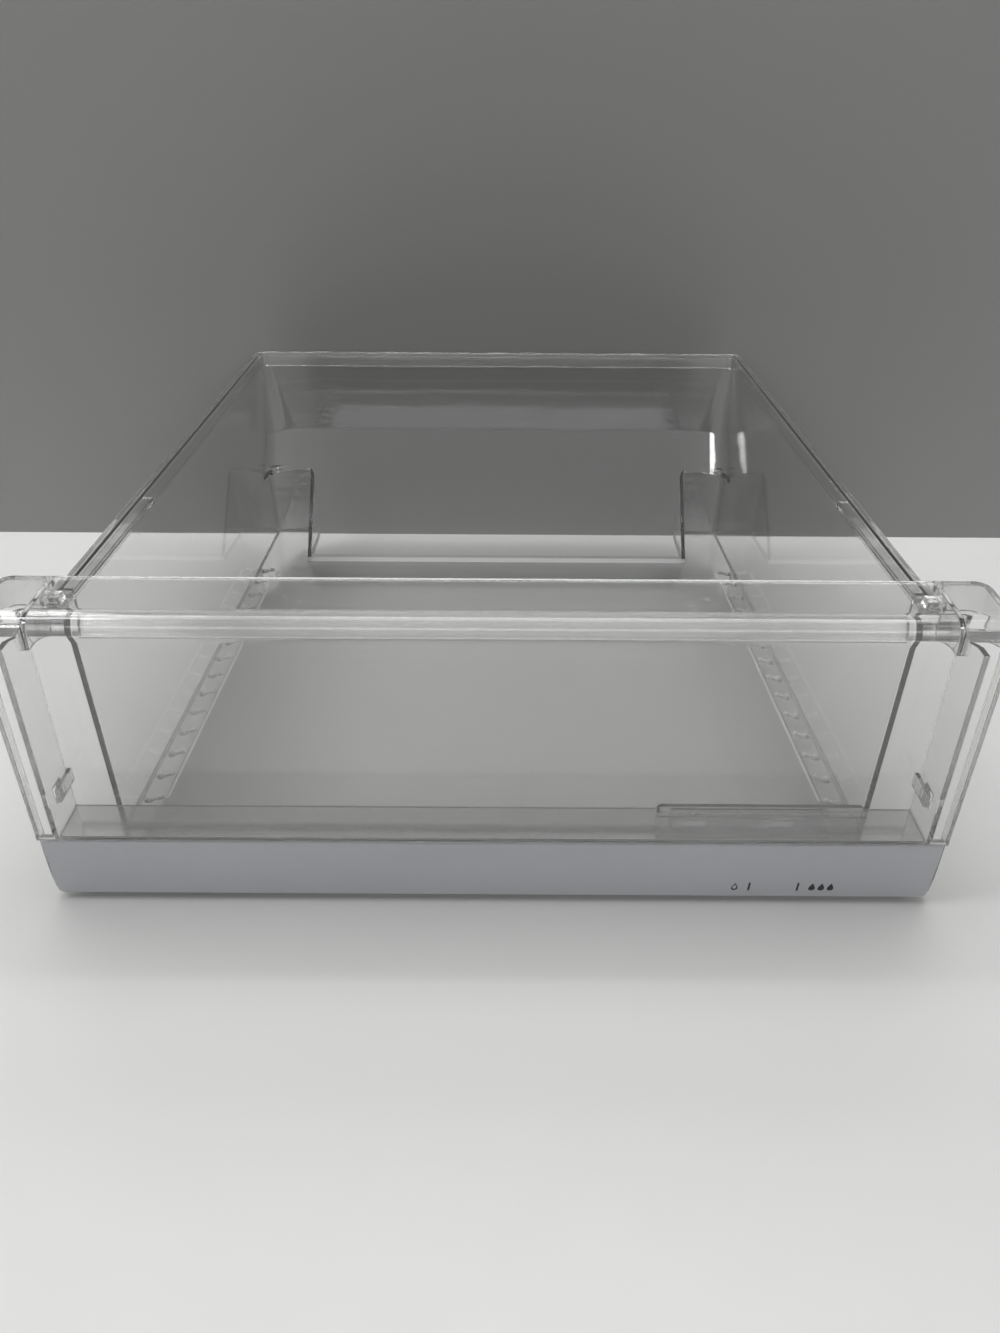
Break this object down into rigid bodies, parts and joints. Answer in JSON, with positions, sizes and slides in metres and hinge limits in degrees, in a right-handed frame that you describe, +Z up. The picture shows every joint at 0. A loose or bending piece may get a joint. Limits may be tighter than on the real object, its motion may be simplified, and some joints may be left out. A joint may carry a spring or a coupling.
{
  "type": "crisper drawer",
  "caption": "Clear refrigerator crisper drawer: tapered bin, front cover with a ledge, grey grip strip and a sliding humidity vent.",
  "frame": {"origin": "on the table under the middle of the drawer", "axes": "+X to the right as one faces the drawer, -Y the front, +Z up"},
  "size_m": [0.4, 0.364, 0.148],
  "materials": {
    "clear_bin": "clear, glossy",
    "clear_cover": "clear, glossy",
    "grey_strip": "satin light grey",
    "clear_guide": "clear, glossy",
    "clear_slider": "clear, faintly tinted, glossy"
  },
  "bodies": {
    "drawer": {"bin": "clear_bin", "front_cover": "clear_cover", "grip_strip": "grey_strip", "slider_guide": "clear_guide"},
    "slider": {"humidity_slider": "clear_slider"}
  },
  "joints": [
    {"name": "humidity_slide", "type": "slide", "parent": "drawer", "child": "slider", "axis": [1, 0, 0], "range_m": [-0.0046, 0.0172]}
  ]
}
